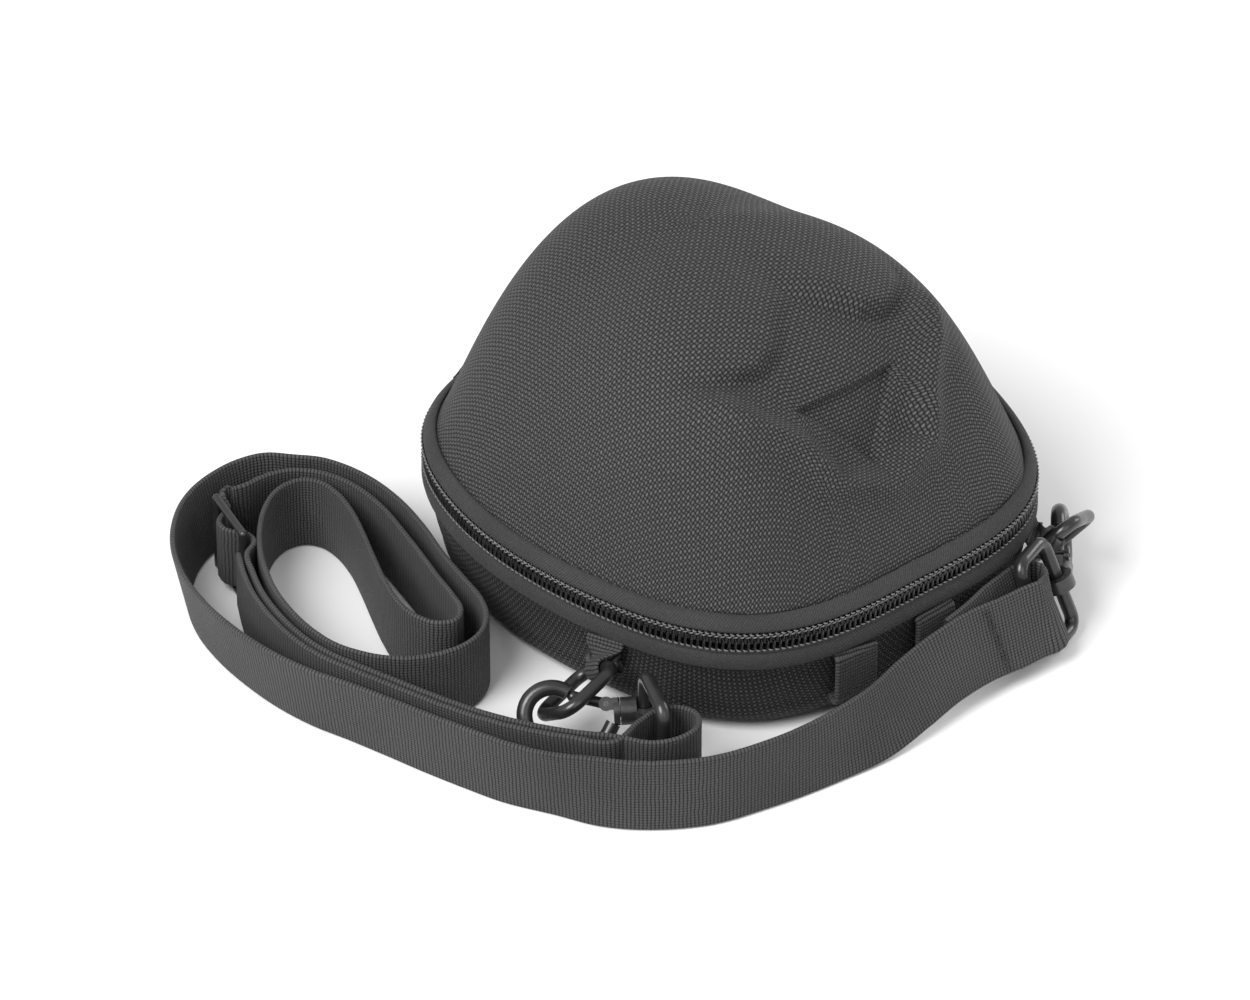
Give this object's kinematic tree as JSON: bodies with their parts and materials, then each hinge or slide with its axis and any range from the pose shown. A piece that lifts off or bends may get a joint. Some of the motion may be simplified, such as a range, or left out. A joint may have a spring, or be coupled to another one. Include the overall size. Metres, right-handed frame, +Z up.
{
  "type": "moulded zip carry case",
  "caption": "Compact moulded zip-round carry case with a domed hinged lid, belt loops, clip rings and a webbing shoulder strap with swivel snap hooks.",
  "frame": {"origin": "middle of the case's flat underside, on the ground", "axes": "+Z up, -Y the front wall with the belt loops, +Y the fabric hinge, +X to the right when the front is faced from outside"},
  "size_m": [0.1923, 0.1724, 0.0943],
  "materials": {
    "moulded_cloth": "coarse woven cloth moulded over foam, matte",
    "lining": "smooth knitted lining",
    "zip_tape": "fine woven tape, matte",
    "zip_coil": "nylon coil, semi gloss",
    "zip_metal": "black coated zinc, satin",
    "webbing": "ribbed woven webbing",
    "black_metal": "black coated metal, glossy",
    "pin_steel": "darkened steel"
  },
  "bodies": {
    "base": {"base_shell": "moulded_cloth", "base_lining": "lining", "base_binding": "zip_tape", "zip_tape_lower": "zip_tape", "zip_coil_lower": "zip_coil", "zip_end_stops": "zip_metal", "hinge_web_lower": "zip_tape", "belt_loop_left": "webbing", "belt_loop_right": "webbing", "ring_tab_left": "webbing", "ring_tab_right": "webbing", "strap_link_left": "black_metal", "strap_link_right": "black_metal", "tri_glide": "black_metal", "strap": "webbing"},
    "lid": {"lid_shell": "moulded_cloth", "lid_lining": "lining", "lid_binding": "zip_tape", "zip_tape_upper": "zip_tape", "zip_coil_upper": "zip_coil", "hinge_web_upper": "zip_tape"},
    "slider": {"zip_slider": "zip_metal"},
    "pull": {"zip_pull": "zip_metal"},
    "ring_left": {"ring_left": "black_metal"},
    "eye_left": {"swivel_eye_left": "black_metal"},
    "hook_left": {"hook_left": "black_metal", "gate_pin_left": "pin_steel"},
    "gate_left": {"gate_left": "black_metal"},
    "ring_right": {"ring_right": "black_metal"},
    "eye_right": {"swivel_eye_right": "black_metal"},
    "hook_right": {"hook_right": "black_metal", "gate_pin_right": "pin_steel"},
    "gate_right": {"gate_right": "black_metal"}
  },
  "joints": [
    {"name": "lid_hinge", "type": "hinge", "parent": "base", "child": "lid", "pos_m": [0, 0.06698, 0.031], "axis": [-1, 0, 0], "range_deg": [0, 105]},
    {"name": "zip_travel", "type": "hinge", "parent": "base", "child": "slider", "pos_m": [0.02397, 0.02614, 0.031], "axis": [0, 0, -1], "range_deg": [0, 28]},
    {"name": "pull_swing", "type": "hinge", "parent": "slider", "child": "pull", "pos_m": [0.04774, 0.06148, 0.0312], "axis": [0.8298, -0.5581, 0], "range_deg": [0, 120]},
    {"name": "ring_left_swing", "type": "hinge", "parent": "base", "child": "ring_left", "pos_m": [-0.0663, -0.02979, 0.0171], "axis": [0.0003, 0.8131, -0.5821], "range_deg": [-4, 4]},
    {"name": "eye_left_turn", "type": "hinge", "parent": "base", "child": "eye_left", "pos_m": [-0.06539, -0.04499, 0.01358], "axis": [-0.037, 0.0289, 0.9989], "range_deg": [-3, 3]},
    {"name": "hook_left_swivel", "type": "hinge", "parent": "eye_left", "child": "hook_left", "pos_m": [-0.07, -0.0414, 0.0133], "axis": [-0.7871, 0.6151, -0.047], "range_deg": [-5, 5]},
    {"name": "gate_left_open", "type": "hinge", "parent": "hook_left", "child": "gate_left", "pos_m": [-0.07185, -0.03846, 0.01464], "axis": [-0.5063, -0.6006, 0.6188], "range_deg": [0, 18], "stiffness_Nm_per_rad": 0.02},
    {"name": "ring_right_swing", "type": "hinge", "parent": "base", "child": "ring_right", "pos_m": [0.04506, -0.06387, 0.0205], "axis": [0.5992, -0.3971, 0.6952], "range_deg": [-4, 4]},
    {"name": "eye_right_turn", "type": "hinge", "parent": "base", "child": "eye_right", "pos_m": [0.04156, -0.07097, 0.01422], "axis": [-0.1641, 0.3487, 0.9228], "range_deg": [-3, 3]},
    {"name": "hook_right_swivel", "type": "hinge", "parent": "eye_right", "child": "hook_right", "pos_m": [0.04566, -0.06687, 0.0134], "axis": [0.7001, 0.7001, -0.14], "range_deg": [-5, 5]},
    {"name": "gate_right_open", "type": "hinge", "parent": "hook_right", "child": "gate_right", "pos_m": [0.04789, -0.06425, 0.01481], "axis": [-0.714, 0.6855, -0.1423], "range_deg": [0, 18], "stiffness_Nm_per_rad": 0.02}
  ]
}
